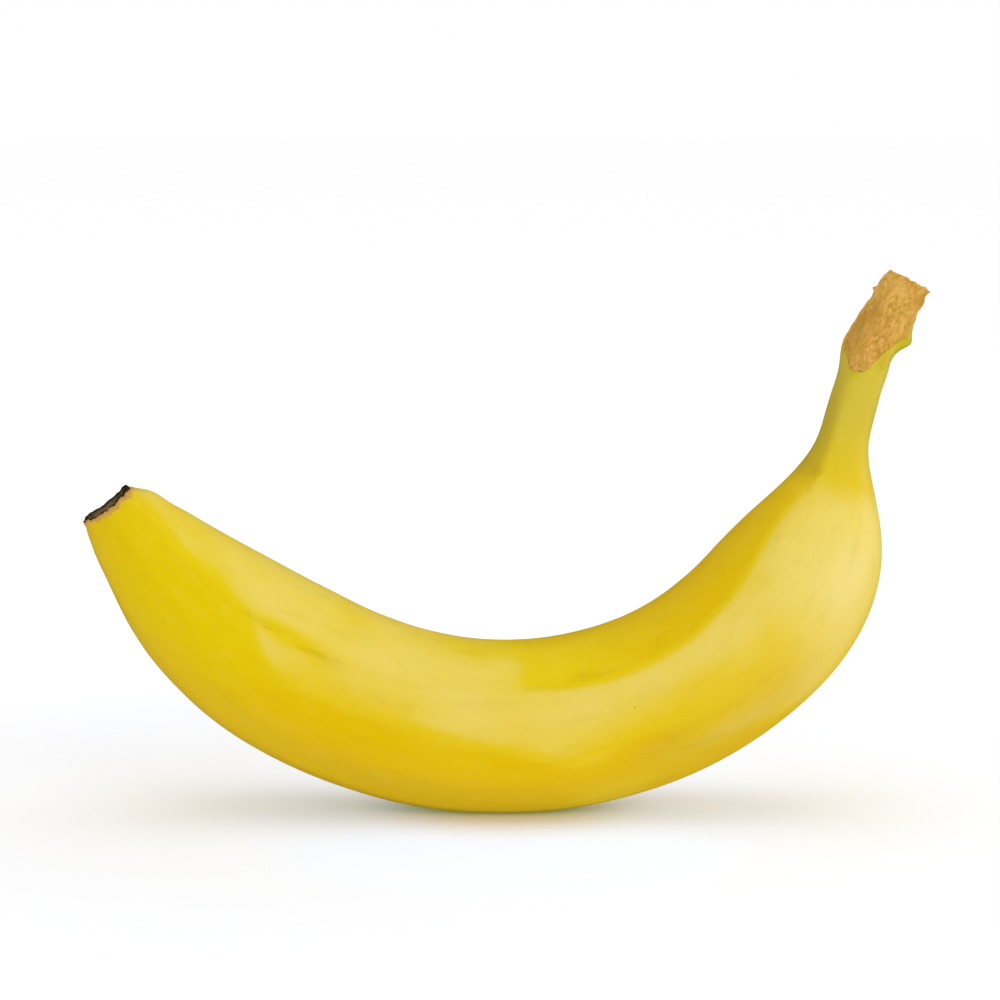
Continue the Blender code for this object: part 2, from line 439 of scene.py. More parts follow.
def measure_reach(tree, spine, distances):
    """How far the solid's skin is from its centreline, on an even grid."""
    at = np.linspace(COARSE_END_GAP, distances[-1] - COARSE_END_GAP, COARSE_RINGS)
    angles = np.arange(COARSE_SPOKES) * 2.0 * math.pi / COARSE_SPOKES
    centre, _, outward, front = along_spine(spine, distances, at)
    spokes = spoke_directions(outward, front, angles)
    reach = np.zeros((COARSE_RINGS, COARSE_SPOKES))
    for ring in range(COARSE_RINGS):
        for spoke in range(COARSE_SPOKES):
            hit = tree.ray_cast(Vector(centre[ring]), Vector(spokes[ring, spoke]))
            reach[ring, spoke] = hit[3]
    return at, reach


def cubic_rows(rows, places):
    """Rows read at fractional places by a Catmull-Rom curve."""
    places = np.clip(places, 0.0, len(rows) - 1.0)
    index = np.minimum(places.astype(int), len(rows) - 2)
    share = (places - index)[:, None]
    before, first = rows[np.maximum(index - 1, 0)], rows[index]
    second, after = rows[index + 1], rows[np.minimum(index + 2, len(rows) - 1)]
    return 0.5 * (
        2.0 * first
        + share * (second - before)
        + share**2 * (2.0 * before - 5.0 * first + 4.0 * second - after)
        + share**3 * (3.0 * first - before - 3.0 * second + after)
    )


def refine_reach(coarse_at, coarse, at, angles):
    """The measured reach on the fine skin's rings and spokes, free of the solid's facets."""
    coarse = smooth_rows(coarse, COARSE_PASSES)
    smooth = (np.roll(coarse, 1, axis=1) + 2.0 * coarse + np.roll(coarse, -1, axis=1)) / 4.0
    rows = (at - coarse_at[0]) / (coarse_at[1] - coarse_at[0])
    rings = cubic_rows(smooth, rows)
    wrap = 3
    wrapped = np.concatenate([rings[:, -wrap:], rings, rings[:, : wrap + 1]], axis=1)
    columns = (angles % (2.0 * math.pi)) * COARSE_SPOKES / (2.0 * math.pi) + wrap
    return cubic_rows(wrapped.T, columns).T


# ---------------------------------------------------------------- the fine skin


def smooth_step(share):
    """Eases from 0 to 1 as share goes from 0 to 1, flat at both ends."""
    share = np.clip(share, 0.0, 1.0)
    return share * share * (3.0 - 2.0 * share)


def hump(distance, width):
    """1 at no distance, falling off smoothly to almost 0 at twice the width."""
    return np.exp(-((distance / width) ** 2))


def around(angle, centre):
    """The angle from a centre, in radians, the short way round."""
    return (angle - centre + math.pi) % (2.0 * math.pi) - math.pi


def turn_hump(angle, turn):
    """A hump round the skin, with its middle and width in degrees."""
    return hump(around(angle, math.radians(turn[0])), math.radians(turn[1]))


def twin_humps(angle, between, turn):
    """Two humps, as many degrees to either side of an angle as the turn's middle says."""
    off = np.abs(around(angle, between)) - math.radians(turn[0])
    return hump(off, math.radians(turn[1]))


def ring_distances(length):
    """Distances along the centreline of the fine skin's rings."""
    places = [0.0]
    while places[-1] < length:
        here = places[-1]
        from_scar = smooth_step(here / SCAR_REACH)
        to_crown = smooth_step((here - length + CROWN_REACH) / (0.5 * CROWN_REACH))
        spacing = SCAR_SPACING + (BODY_SPACING - SCAR_SPACING) * from_scar
        places.append(here + spacing + (CROWN_SPACING - spacing) * to_crown)
    return np.array(places) * length / places[-1]


def noise_over(points, size, octaves, offset):
    """Smooth noise from about -1 to 1 at each point; features are about the size across."""
    shape = points.shape[:-1]
    places = points.reshape(-1, 3) / size + offset
    if octaves == 1:
        values = [noise.noise(place) for place in places]
    else:
        values = [noise.fractal(place, 1.0, 2.0, octaves) for place in places]
    return np.array(values).reshape(shape)


def smooth_curve(knots, values, at):
    """A smooth curve through the values at the knots, read at the given places."""
    knots = np.asarray(knots, float)
    values = np.asarray(values, float)
    slopes = np.gradient(values, knots)
    cell = np.clip(np.searchsorted(knots, at, side="right") - 1, 0, len(knots) - 2)
    width = knots[cell + 1] - knots[cell]
    share = np.clip((at - knots[cell]) / width, 0.0, 1.0)
    start_pull = share * (1.0 - share) ** 2 * width
    end_pull = share**2 * (share - 1.0) * width
    blend = smooth_step(share)
    flat = values[cell] * (1.0 - blend) + values[cell + 1] * blend
    return flat + slopes[cell] * start_pull + slopes[cell + 1] * end_pull


def nearest_ridge(at, angles, reach):
    """How far round the skin each point is from the nearest ridge."""
    tracks = [smooth_curve(RIDGE_STATIONS, track, at) for track in RIDGE_TRACKS]
    gaps = [around(angles[None, :], np.radians(track)[:, None]) * reach for track in tracks]
    return np.abs(np.stack(gaps)).min(axis=0)


def straight(along, reach, angle):
    """Points of the fruit as if it were straightened out along X."""
    return np.stack([along, reach * np.cos(angle), reach * np.sin(angle)], axis=-1)


def peel_tint(along, angle, reach):
    """How deep the yellow is, above 0, as painted shade, or how pale, below 0, as a painted
    sheen.
    """
    edge = smooth_curve(DEEP_EDGE_MM, DEEP_EDGE_DEGREES, along / MM)
    below = (np.radians(edge) - np.abs(around(angle, 0.0))) * reach
    deep = smooth_step(0.5 + below / DEEP_EDGE_WIDTH)
    front = smooth_curve(INNER_EDGE_MM, INNER_EDGE_DEGREES, along / MM)
    inner = facet(angle, reach, front, INNER_BACK, INNER_EDGE_WIDTH)
    ragged = INNER_WARP * noise_over(straight(along, reach, angle), *INNER_WARP_NOISE)
    inner *= fade(along + ragged, INNER_START) * (1.0 - fade(along, INNER_STOP))
    tint = DEEP_TINT * np.maximum(deep, inner) + PLAIN_TINT
    return tint + patches(TINTS, along, angle, reach)


def fade(along, ends):
    """Eases from 0 to 1 between two places along the centreline."""
    return smooth_step((along - ends[0]) / (ends[1] - ends[0]))


def facet(angle, reach, front, back, width):
    """1 between a front and a back edge, in degrees, on the inner side of the bow."""
    middle = np.radians((front + back) / 2.0)
    half = np.radians((back - front) / 2.0)
    inside = (half - np.abs(around(angle, middle))) * reach
    return smooth_step(0.5 + inside / width)


def neck_facet_shade(along, angle, reach):
    """The facet of the neck, darkened as painted shade, fainter towards the crown."""
    shade = facet(angle, reach, FACET_EDGE, FACET_BACK, FACET_WIDTH)
    return shade * fade(along, FACET_START) * (1.0 - FACET_LOSS * fade(along, FACET_FADE))


def cork_edge(angle):
    """How far the cork reaches from the torn end, at each angle."""
    turn = np.array(CORK_EDGE_ANGLES)
    turns = np.concatenate([turn - 360.0, turn, turn + 360.0])
    return smooth_curve(turns, CORK_EDGE_MM * 3, np.degrees(angle)) * MM


def patches(rows, distance, angle, reach):
    """The sum of soft oval patches: place and degrees, half length and width, strength."""
    total = np.zeros_like(reach)
    for place, turn, half_length, half_width, strength in rows:
        side = around(angle, math.radians(turn)) * reach / (half_width * MM)
        away = (distance - place * MM) / (half_length * MM)
        total += strength * np.exp(-(side**2) - away**2)
    return total


def on_circle(angle):
    """Points on a circle with a radius of 1."""
    return np.stack([np.cos(angle), np.sin(angle), np.zeros_like(angle)], axis=-1)


def crust_top(angle):
    """Where the scar's ragged edge ends, along the centreline, at each angle."""
    wear = FRONT_WEAR * turn_hump(angle, FRONT_WEAR_TURN)
    inner = INNER_CORNER * turn_hump(angle, INNER_CORNER_TURN)
    outer = OUTER_CORNER * twin_humps(angle, 0.0, OUTER_CORNER_TURN)
    ragged = CRUST_RAGGED * noise_over(on_circle(angle), *CRUST_EDGE_NOISE)
    return CRUST_TOP + wear - inner - outer + ragged


def torn_end(angle):
    """How far the crown's torn edge stands past the centreline's end, at each angle."""
    ragged = TORN_RAGGED * noise_over(on_circle(angle), *TORN_EDGE_NOISE)
    return TORN_RISE * twin_humps(angle, math.pi, TORN_RISE_TURN) + ragged


def shape_body(at, angles, reach, length):
    """The skin's rings from the scar's edge to the torn end, with what colours them."""
    angle = np.broadcast_to(angles[None, :], reach.shape)
    nominal = np.broadcast_to(at[:, None], reach.shape)
    top = crust_top(angles)[None, :]
    end = torn_end(angles)[None, :]
    near_scar = 1.0 - smooth_step(nominal / SCAR_REACH)
    near_end = smooth_step((nominal - length) / SCAR_REACH + 1.0)
    along = nominal + top * near_scar + end * near_end
    raw = straight(along, reach, angle)
    from_end = length - along

    front = turn_hump(angles, CRUST_FRONT_TURN)[None, :]
    height = CRUST_HEIGHT * (1.0 - (1.0 - CRUST_FRONT) * front)
    into_scar = top + height * (1.0 + 0.45 * noise_over(raw, *CRUST_HEIGHT_NOISE)) - along
    crust = smooth_step(0.5 + into_scar / CRUST_EDGE)
    crust_relief = noise_over(raw, *CRUST_NOISE) * crust
    into_cork = cork_edge(angles)[None, :] - from_end
    into_cork = into_cork + CORK_WARP * noise_over(raw, *CORK_WARP_NOISE)
    cork = smooth_step(0.5 + into_cork / CORK_EDGE)
    fibres = noise_over(raw * FIBRE_GRAIN, *FIBRE_NOISE)
    lip = hump(into_cork, CORK_LIP_WIDTH) * (0.6 + 0.4 * noise_over(raw, *LIP_NOISE))

    ridge_gap = nearest_ridge(at, angles, reach)
    tapered = smooth_step(nominal / RIDGE_TAPER) * (1.0 - 0.5 * cork)
    ridge = RIDGE_RISE * hump(ridge_gap, RIDGE_WIDTH) * tapered
    swell = SWELL_RISE * noise_over(raw * SWELL_GRAIN, *SWELL_NOISE)
    swell += RIPPLE_RISE * noise_over(raw * RIPPLE_GRAIN, *RIPPLE_NOISE)

    reach = reach + (ridge + swell) * (1.0 - crust)
    reach = reach - CRUST_INSET * crust + CRUST_RELIEF * crust_relief
    reach = reach + cork * (CORK_RELIEF * fibres - CORK_SINK) + CORK_LIP * lip
    crown_lumps = patches(CROWN_LUMPS, from_end, angle, reach)
    reach = reach + MM * (crown_lumps + patches(TIP_LUMPS, along, angle, reach))
    fields = {
        "scar": into_scar,
        "cork": into_cork,
        "relief": cork * fibres + crust_relief,
        "ridge_gap": ridge_gap,
        "tint": peel_tint(along, angle, reach),
        "shade": patches(SHADES, along, angle, reach),
        "lemon": patches(LEMON_PLACES, along, angle, reach),
        "mark": patches(MARKS, along, angle, reach),
        "cork_tint": patches(CORK_TINTS, from_end, angle, reach),
        "unripe": patches(UNRIPE, from_end, angle, reach),
        "facet": neck_facet_shade(along, angle, reach),
    }
    return along, reach, angle, fields


def shape_cap(rim, share, floor, wall, roughness, grain):
    """Rings from an end's edge to near its middle. The share is 1 at the edge.

    The rim is the edge's distances, reaches, angles and fields. The floor is how far along
    the centreline the cap lies at each share, and the wall the share taken to reach it.
    The roughness is how far its noise, the grain, goes up and down.
    """
    along, reach, angle, fields = rim
    inside = 1.0 - share[:, None]
    drop = smooth_step(inside / wall)
    reaches = reach[None, :] * share[:, None]
    turns = np.broadcast_to(angle[None, :], reaches.shape)
    level = along[None, :] * (1.0 - drop) + floor[:, None] * drop
    raw = straight(level * FACE_GRAIN, reaches, turns)
    relief = noise_over(raw, *grain)
    level = level + roughness * relief * drop
    rows = {name: np.broadcast_to(row[None, :], reaches.shape) for name, row in fields.items()}
    rows["relief"] = rows["relief"] * (1.0 - drop) + relief * drop
    return level, reaches, turns, rows, inside * reach.mean()


def bend(spine, distances, along, reach, angle):
    """Points in the row frame, from places in the straightened fruit."""
    flat = along.ravel()
    inside = np.clip(flat, 0.0, distances[-1])
    centre, tangent, outward, front = along_spine(spine, distances, inside)
    centre = centre + tangent * (flat - inside)[:, None]
    cos, sin = np.cos(angle).ravel()[:, None], np.sin(angle).ravel()[:, None]
    points = centre + (outward * cos + front * sin) * reach.ravel()[:, None]
    return points.reshape(*along.shape, 3)


def rest_flat(points):
    """Presses the skin onto the floor, so that the face it rests on is flat."""
    height = points[..., 2]
    settled = height - SETTLE * (1.0 - smooth_step(height / (SETTLE_SPREAD * SETTLE)))
    points[..., 2] = np.maximum(settled, 0.0)
    return points


def join_rows(start, body, end):
    """Rings in order: the scar's cap from its middle out, the body, the torn end's cap."""
    return np.concatenate([start[::-1], body, end])


def skin_grid(spine, distances, tree):
    """The whole skin: points on a grid of rings and spokes, and the fields on them."""
    length = distances[-1]
    at = ring_distances(length)
    angles = SEAM_ANGLE + np.arange(SPOKES) * 2.0 * math.pi / SPOKES
    coarse_at, coarse = measure_reach(tree, spine, distances)
    reach = refine_reach(coarse_at, coarse, at, angles)
    along, reach, angle, fields = shape_body(at, angles, reach, length)

    share = 1.0 - (np.arange(CAP_RINGS) + 1.0) / (CAP_RINGS + 0.5)
    first_rim, last_rim = (
        (along[row], reach[row], angle[row], {name: rows[row] for name, rows in fields.items()})
        for row in (0, -1)
    )
    floor = SCAR_DEPTH - SCAR_BULGE * (1.0 - share**2)
    scar = shape_cap(first_rim, share, floor, SCAR_WALL, SCAR_ROUGHNESS, SCAR_FACE_NOISE)
    floor = length - TORN_HOLLOW * (1.0 - share)
    crown = shape_cap(last_rim, share, floor, TORN_WALL, TORN_ROUGHNESS, TORN_FACE_NOISE)

    along = join_rows(scar[0], along, crown[0])
    reach = join_rows(scar[1], reach, crown[1])
    angle = join_rows(scar[2], angle, crown[2])
    fields = {
        name: join_rows(scar[3][name], rows, crown[3][name]) for name, rows in fields.items()
    }
    none = np.zeros_like(scar[1])
    inside = np.broadcast_to(scar[4], none.shape)
    fields["face"] = join_rows(inside, np.zeros((len(at), SPOKES)), none)
    fields["along"] = along
    points = rest_flat(bend(spine, distances, along, reach, angle))
    return points, straight(along, reach, angle), fields


# ---------------------------------------------------------------- the mesh


def skin_faces(rings, spokes):
    """Quads between the rings, and a fan at each end round a last point."""
    column = np.arange(spokes)
    following = (column + 1) % spokes
    row = np.arange(rings - 1)[:, None] * spokes
    quads = np.stack(
        [row + column, row + spokes + column, row + spokes + following, row + following],
        axis=2,
    )
    first_pole = np.full(spokes, rings * spokes)
    last_row = (rings - 1) * spokes
    first_fan = np.stack([first_pole, column, following], axis=1)
    last_fan = np.stack([first_pole + 1, last_row + following, last_row + column], axis=1)
    return quads.reshape(-1, 4), np.concatenate([first_fan, last_fan])


def skin_map(rings, spokes):
    """Each corner's place on the map, in the order of the faces."""
    left = np.arange(spokes) / spokes
    right = (np.arange(spokes) + 1.0) / spokes
    low = (np.arange(rings - 1) + 1.0)[:, None] / (rings + 1.0)
    high = (np.arange(rings - 1) + 2.0)[:, None] / (rings + 1.0)
    shape = (rings - 1, spokes)
    across = [np.broadcast_to(side, shape) for side in (left, left, right, right)]
    along = [np.broadcast_to(side, shape) for side in (low, high, high, low)]
    quads = np.stack([np.stack(across, axis=2), np.stack(along, axis=2)], axis=3)
    middle = (left + right) / 2.0
    edge = np.full(spokes, 1.0 / (rings + 1.0))
    first = np.stack([middle, 0.0 * edge, left, edge, right, edge], axis=1)
    edge = 1.0 - edge
    last = np.stack([middle, np.ones(spokes), right, edge, left, edge], axis=1)
    return np.concatenate([part.reshape(-1, 2) for part in (quads, first, last)])


def add_pole(grid):
    """A grid's values as one list, with the mean of its first and last rings at the end."""
    flat = grid.reshape(-1, *grid.shape[2:])
    ends = np.stack([grid[0].mean(axis=0), grid[-1].mean(axis=0)])
    return np.concatenate([flat, ends])


def make_mesh(name, points, skin, fields):
    """The skin as an object, with its map, its straightened places and its fields."""
    rings, spokes = points.shape[:2]
    quads, fans = skin_faces(rings, spokes)
    mesh = bpy.data.meshes.new(name)
    mesh.from_pydata(add_pole(points).tolist(), [], quads.tolist() + fans.tolist())
    mesh.shade_smooth()
    places = mesh.uv_layers.new(name="OFBake")
    places.data.foreach_set("uv", skin_map(rings, spokes).ravel())
    layer = mesh.attributes.new("skin", "FLOAT_VECTOR", "POINT")
    layer.data.foreach_set("vector", add_pole(skin).ravel())
    for field, values in fields.items():
        layer = mesh.attributes.new(field, "FLOAT", "POINT")
        layer.data.foreach_set("value", add_pole(values))
    mesh.update()
    thing = bpy.data.objects.new(name, mesh)
    bpy.context.scene.collection.objects.link(thing)
    return thing


# ---------------------------------------------------------------- the material


def feed(links, socket, value):
    """Sets a socket to a value, or links it to another node's output."""
    if isinstance(value, bpy.types.NodeSocket):
        links.new(value, socket)
    else:
        socket.default_value = value


class Shader:
    """Short ways to add nodes to a material."""

    def __init__(self, name):
        self.material = bpy.data.materials.new(name)
        self.material.use_nodes = True
        self.nodes = self.material.node_tree.nodes
        self.links = self.material.node_tree.links
        self.surface = self.nodes["Principled BSDF"]

    def feed(self, socket, value):
        """The same, in this material."""
        feed(self.links, socket, value)

    def field(self, name, output="Fac"):
        """One of the skin's fields."""
        node = self.nodes.new("ShaderNodeAttribute")
        node.attribute_name = name
        return node.outputs[output]

    def maths(self, operation, first, second):
        """A sum, a product or another operation on two numbers."""
        node = self.nodes.new("ShaderNodeMath")
        node.operation = operation
        self.feed(node.inputs[0], first)
        self.feed(node.inputs[1], second)
        return node.outputs[0]

    def stretch(self, vector, shares):
        """A place with each of its numbers multiplied, which stretches a noise read there."""
        node = self.nodes.new("ShaderNodeVectorMath")
        node.operation = "MULTIPLY"
        self.feed(node.inputs[0], vector)
        node.inputs[1].default_value = shares
        return node.outputs[0]

    def ramp(self, value, low, high, start=0.0, end=1.0):
        """Goes smoothly from start to end as the value goes from low to high."""
        node = self.nodes.new("ShaderNodeMapRange")
        node.interpolation_type = "SMOOTHSTEP"
        for socket, number in zip(node.inputs[:5], (value, low, high, start, end)):
            self.feed(socket, number)
        return node.outputs[0]

    def noise(self, vector, size, detail=2.0, roughness=0.5, offset=0.0):
        """Noise from 0 to 1, mostly near 0.5, whose features are about the size across."""
        node = self.nodes.new("ShaderNodeTexNoise")
        node.noise_dimensions = "4D"
        self.feed(node.inputs["Vector"], vector)
        node.inputs["W"].default_value = offset
        node.inputs["Scale"].default_value = 1.0 / size
        node.inputs["Detail"].default_value = detail
        node.inputs["Roughness"].default_value = roughness
        return node.outputs["Fac"]

    def cells(self, vector, size):
        """Distance to the nearest of scattered points, in cells, and its random colour."""
        node = self.nodes.new("ShaderNodeTexVoronoi")
        self.feed(node.inputs["Vector"], vector)
        node.inputs["Scale"].default_value = 1.0 / size
        return node.outputs["Distance"], node.outputs["Color"]

    def mix(self, share, first, second):
        """One colour over another: the second where the share is 1."""
        node = self.nodes.new("ShaderNodeMix")
        node.data_type = "RGBA"
        self.feed(node.inputs[0], share)
        self.feed(node.inputs[6], first)
        self.feed(node.inputs[7], second)
        return node.outputs[2]


# The skin's colours, as linear red, green and blue, and alpha.
RIPE = (0.840, 0.605, 0.012, 1.0)
# Painted shade: the deeper yellow where the peel turns away from the light.
DEEP_SHADE = (0.820, 0.550, 0.001, 1.0)
LEMON = (0.840, 0.650, 0.001, 1.0)
# A paler grain, and a painted sheen where the peel faces the light.
PALE_GRAIN_AND_SHEEN = (0.880, 0.700, 0.150, 1.0)
# A painted highlight, where the peel is palest.
CREAM_HIGHLIGHT = (0.890, 0.740, 0.240, 1.0)
# Painted shade, a browner yellow.
SHADE_TAN = (0.600, 0.400, 0.030, 1.0)
OLIVE = (0.640, 0.520, 0.050, 1.0)
GREEN = (0.560, 0.460, 0.004, 1.0)
# Painted shade on the neck's inner facet.
FACET_SHADE = (0.480, 0.345, 0.016, 1.0)
BRUISE = (0.550, 0.370, 0.010, 1.0)
BROWN = (0.260, 0.140, 0.020, 1.0)
SHEEN = (1.000, 0.820, 0.100, 1.0)
CORK = (0.800, 0.440, 0.078, 1.0)
CORK_LIGHT = (0.900, 0.580, 0.170, 1.0)
CORK_DARK = (0.520, 0.260, 0.035, 1.0)
CRUST = (0.030, 0.016, 0.009, 1.0)
SCAR_FACE = (0.260, 0.180, 0.085, 1.0)
SCAR_RIM = (0.700, 0.400, 0.090, 1.0)


def peel_colour(shader, skin):
    """The yellow peel, with its broad tints, marks, streaks and specks. The tints are partly the
    peel's own tone and partly painted sheen, highlight and shade.
    """
    long_grain = shader.stretch(skin, (0.25, 1.0, 1.0))
    along = shader.field("along")
    broad = shader.noise(shader.stretch(skin, (0.5, 1.0, 1.0)), 16.0 * MM, 3.0, 0.5, 1.0)
    tint = shader.maths("ADD", shader.field("tint"), shader.ramp(broad, 0.2, 0.8, -0.35, 0.35))
    # Painted shade: a deeper yellow where the tint is above 0.
    colour = shader.mix(shader.ramp(tint, 0.0, 0.8), RIPE, DEEP_SHADE)
    lemon = shader.ramp(shader.field("lemon"), 0.0, 1.0, 0.0, 0.65)
    colour = shader.mix(lemon, colour, LEMON)
    # Painted sheen and highlight: paler, then cream, where the tint is below 0.
    colour = shader.mix(shader.ramp(tint, 0.0, -1.0), colour, PALE_GRAIN_AND_SHEEN)
    colour = shader.mix(shader.ramp(tint, -1.0, -1.7), colour, CREAM_HIGHLIGHT)
    # Painted shade: browner where the shade field is.
    shade = shader.ramp(shader.field("shade"), 0.0, 1.0, 0.0, 0.5)
    colour = shader.mix(shade, colour, SHADE_TAN)
    fine = shader.noise(long_grain, 2.2 * MM, 4.0, 0.6, 2.0)
    colour = shader.mix(shader.ramp(fine, 0.50, 0.75, 0.0, 0.10), colour, PALE_GRAIN_AND_SHEEN)
    colour = shader.mix(shader.ramp(fine, 0.50, 0.28, 0.0, 0.12), colour, BRUISE)

    neck = shader.ramp(along, 183.0 * MM, 206.0 * MM, 0.0, 0.80)
    colour = shader.mix(neck, colour, OLIVE)
    # Painted shade: the neck's inner facet darkened.
    facet_shading = shader.ramp(shader.field("facet"), 0.0, 1.0, 0.0, 0.46)
    colour = shader.mix(facet_shading, colour, FACET_SHADE)
    near_cork = shader.ramp(shader.field("cork"), -3.0 * MM, -0.3 * MM, 0.0, 0.15)
    unripe = shader.ramp(shader.field("unripe"), 0.1, 0.9, 0.0, 0.85)
    colour = shader.mix(shader.maths("MAXIMUM", near_cork, unripe), colour, GREEN)

    line = shader.ramp(shader.field("ridge_gap"), 0.3 * MM, 1.6 * MM, 0.10, 0.0)
    worn = shader.noise(long_grain, 5.0 * MM, 4.0, 0.65, 3.0)
    line = shader.maths("MULTIPLY", line, shader.ramp(worn, 0.42, 0.62))
    colour = shader.mix(line, colour, BRUISE)
    ragged = shader.maths("MULTIPLY", shader.field("mark"), shader.ramp(worn, 0.35, 0.60))
    colour = shader.mix(shader.ramp(ragged, 0.1, 0.9, 0.0, 0.8), colour, BRUISE)

    distance, chance = shader.cells(skin, 7.0 * MM)
    few = shader.ramp(chance, 0.62, 0.64)
    speck = shader.maths("MULTIPLY", shader.ramp(distance, 0.03, 0.06, 0.75, 0.0), few)
    return shader.mix(speck, colour, BROWN)


def cork_colour(shader, skin):
    """The torn crown's cork, grained and lighter where it stands up."""
    broad = shader.noise(skin, 4.0 * MM, 3.0, 0.6, 12.0)
    colour = shader.mix(shader.ramp(broad, 0.32, 0.55, 0.35, 1.0), CORK_DARK, CORK)
    grain = shader.noise(shader.stretch(skin, (0.7, 1.0, 1.0)), 0.7 * MM, 5.0, 0.7, 4.0)
    colour = shader.mix(shader.ramp(grain, 0.50, 0.36, 0.0, 0.68), colour, CORK_DARK)
    colour = shader.mix(shader.ramp(grain, 0.50, 0.64, 0.0, 0.78), colour, CORK_LIGHT)
    high = shader.ramp(shader.field("relief"), 0.0, 0.8, 0.0, 0.45)
    colour = shader.mix(high, colour, CORK_LIGHT)
    # Darker where the cork tint is above 0, in places on its inner side as painted shade, and
    # lighter below 0.
    tint = shader.field("cork_tint")
    colour = shader.mix(shader.ramp(tint, 0.0, 1.0, 0.0, 0.55), colour, CORK_DARK)
    return shader.mix(shader.ramp(tint, 0.0, -1.0, 0.0, 0.55), colour, CORK_LIGHT)


def scar_colour(shader, skin, into_scar):
    """The scar: a dark crust round a paler flecked face, and a tan rim outside it."""
    face = shader.ramp(shader.field("face"), 0.3 * MM, 0.8 * MM)
    flecks = shader.noise(skin, 0.8 * MM, 3.0, 0.6, 5.0)
    pale = shader.maths("MULTIPLY", face, shader.ramp(flecks, 0.32, 0.58))
    colour = shader.mix(pale, CRUST, SCAR_FACE)
    rim = shader.ramp(into_scar, 0.15 * MM, -0.15 * MM)
    outside = shader.ramp(shader.field("face"), 0.1 * MM, 0.3 * MM, 1.0, 0.0)
    return shader.mix(shader.maths("MULTIPLY", rim, outside), colour, SCAR_RIM)


def make_peel():
    """The whole skin's material: peel, cork and scar, with their gloss and fine relief."""
    shader = Shader("banana_skin")
    skin = shader.field("skin", "Vector")
    edge = shader.noise(skin, 0.9 * MM, 3.0, 0.6, 6.0)
    fray = shader.ramp(edge, 0.25, 0.75, -0.3 * MM, 0.3 * MM)
    into_cork = shader.maths("ADD", shader.field("cork"), fray)
    into_scar = shader.maths("ADD", shader.field("scar"), fray)
    cork = shader.ramp(into_cork, -0.1 * MM, 0.2 * MM)
    scar = shader.ramp(into_scar, -1.3 * MM, -0.4 * MM)

    colour = shader.mix(cork, peel_colour(shader, skin), cork_colour(shader, skin))
    colour = shader.mix(scar, colour, scar_colour(shader, skin, into_scar))
    rough = shader.maths("MAXIMUM", cork, scar)
    gloss = shader.noise(skin, 6.0 * MM, 3.0, 0.6, 7.0)
    smooth = shader.ramp(gloss, 0.3, 0.7, 0.40, 0.50)
    roughness = shader.maths("ADD", smooth, shader.maths("MULTIPLY", rough, 0.42))

    grain = shader.noise(shader.stretch(skin, (0.3, 1.0, 1.0)), 1.1 * MM, 4.0, 0.6, 8.0)
    pores = shader.noise(skin, 0.35 * MM, 2.0, 0.5, 9.0)
    grain_height = shader.ramp(grain, 0.2, 0.8, 0.0, 0.05)
    fine = shader.maths("ADD", grain_height, shader.ramp(pores, 0.3, 0.7, 0.0, 0.012))
    coarse = shader.noise(shader.stretch(skin, (0.5, 1.0, 1.0)), 0.6 * MM, 4.0, 0.7, 10.0)
    coarse = shader.maths("MULTIPLY", shader.ramp(coarse, 0.2, 0.8, 0.0, 0.28), rough)
    bump = shader.nodes.new("ShaderNodeBump")
    bump.inputs["Distance"].default_value = MM
    shader.feed(bump.inputs["Height"], shader.maths("ADD", fine, coarse))

    surface = shader.surface.inputs
    shader.feed(surface["Base Color"], colour)
    shader.feed(surface["Roughness"], roughness)
    shader.feed(surface["Normal"], bump.outputs["Normal"])
    surface["Specular IOR Level"].default_value = 0.3
    surface["Specular Tint"].default_value = SHEEN
    return shader.material


# ---------------------------------------------------------------- the studio


def pick_shown(nodes, links, shown, other):
    """One colour where the camera looks straight at a surface, the other for its light."""
    path = nodes.new("ShaderNodeLightPath")
    pick = nodes.new("ShaderNodeMix")
    pick.data_type = "RGBA"
    links.new(path.outputs["Is Camera Ray"], pick.inputs[0])
    feed(links, pick.inputs[6], other)
    feed(links, pick.inputs[7], shown)
    return pick.outputs[2]


def glow_with_painted_shadow(nodes, links):
    """The glow that the camera sees, by the distance from the floor's middle. Weakest near the
    middle, it paints the fruit's shadow on the floor.
    """
    place = nodes.new("ShaderNodeTexCoord")
    away = nodes.new("ShaderNodeVectorMath")
    away.operation = "LENGTH"
    share = nodes.new("ShaderNodeMath")
    share.operation = "DIVIDE"
    share.inputs[1].default_value = FLOOR_GLOW_RANGE
    glow = nodes.new("ShaderNodeValToRGB")
    glow.color_ramp.interpolation = "EASE"
    stops = glow.color_ramp.elements
    while len(stops) < len(FLOOR_GLOW_SHADOW_STOPS):
        stops.new(1.0)
    for stop, (distance, colour) in zip(stops, FLOOR_GLOW_SHADOW_STOPS):
        stop.position, stop.color = distance / FLOOR_GLOW_RANGE, colour
    links.new(place.outputs["Object"], away.inputs[0])
    links.new(away.outputs["Value"], share.inputs[0])
    links.new(share.outputs[0], glow.inputs[0])
    return glow.outputs["Color"]


def make_floor_white():
    """The floor's material, which looks white but sends a warmer light back up."""
    material = bpy.data.materials.new("floor_white")
    material.use_nodes = True
    nodes, links = material.node_tree.nodes, material.node_tree.links
    surface = nodes["Principled BSDF"].inputs
    surface["Roughness"].default_value = 0.9
    surface["Specular IOR Level"].default_value = 0.1
    surface["Emission Strength"].default_value = 1.0
    colour = pick_shown(nodes, links, FLOOR_SHOWN, FLOOR_COLOUR)
    links.new(colour, surface["Base Color"])
    glow = pick_shown(nodes, links, glow_with_painted_shadow(nodes, links), FLOOR_GLOW)
    links.new(glow, surface["Emission Color"])
    return material


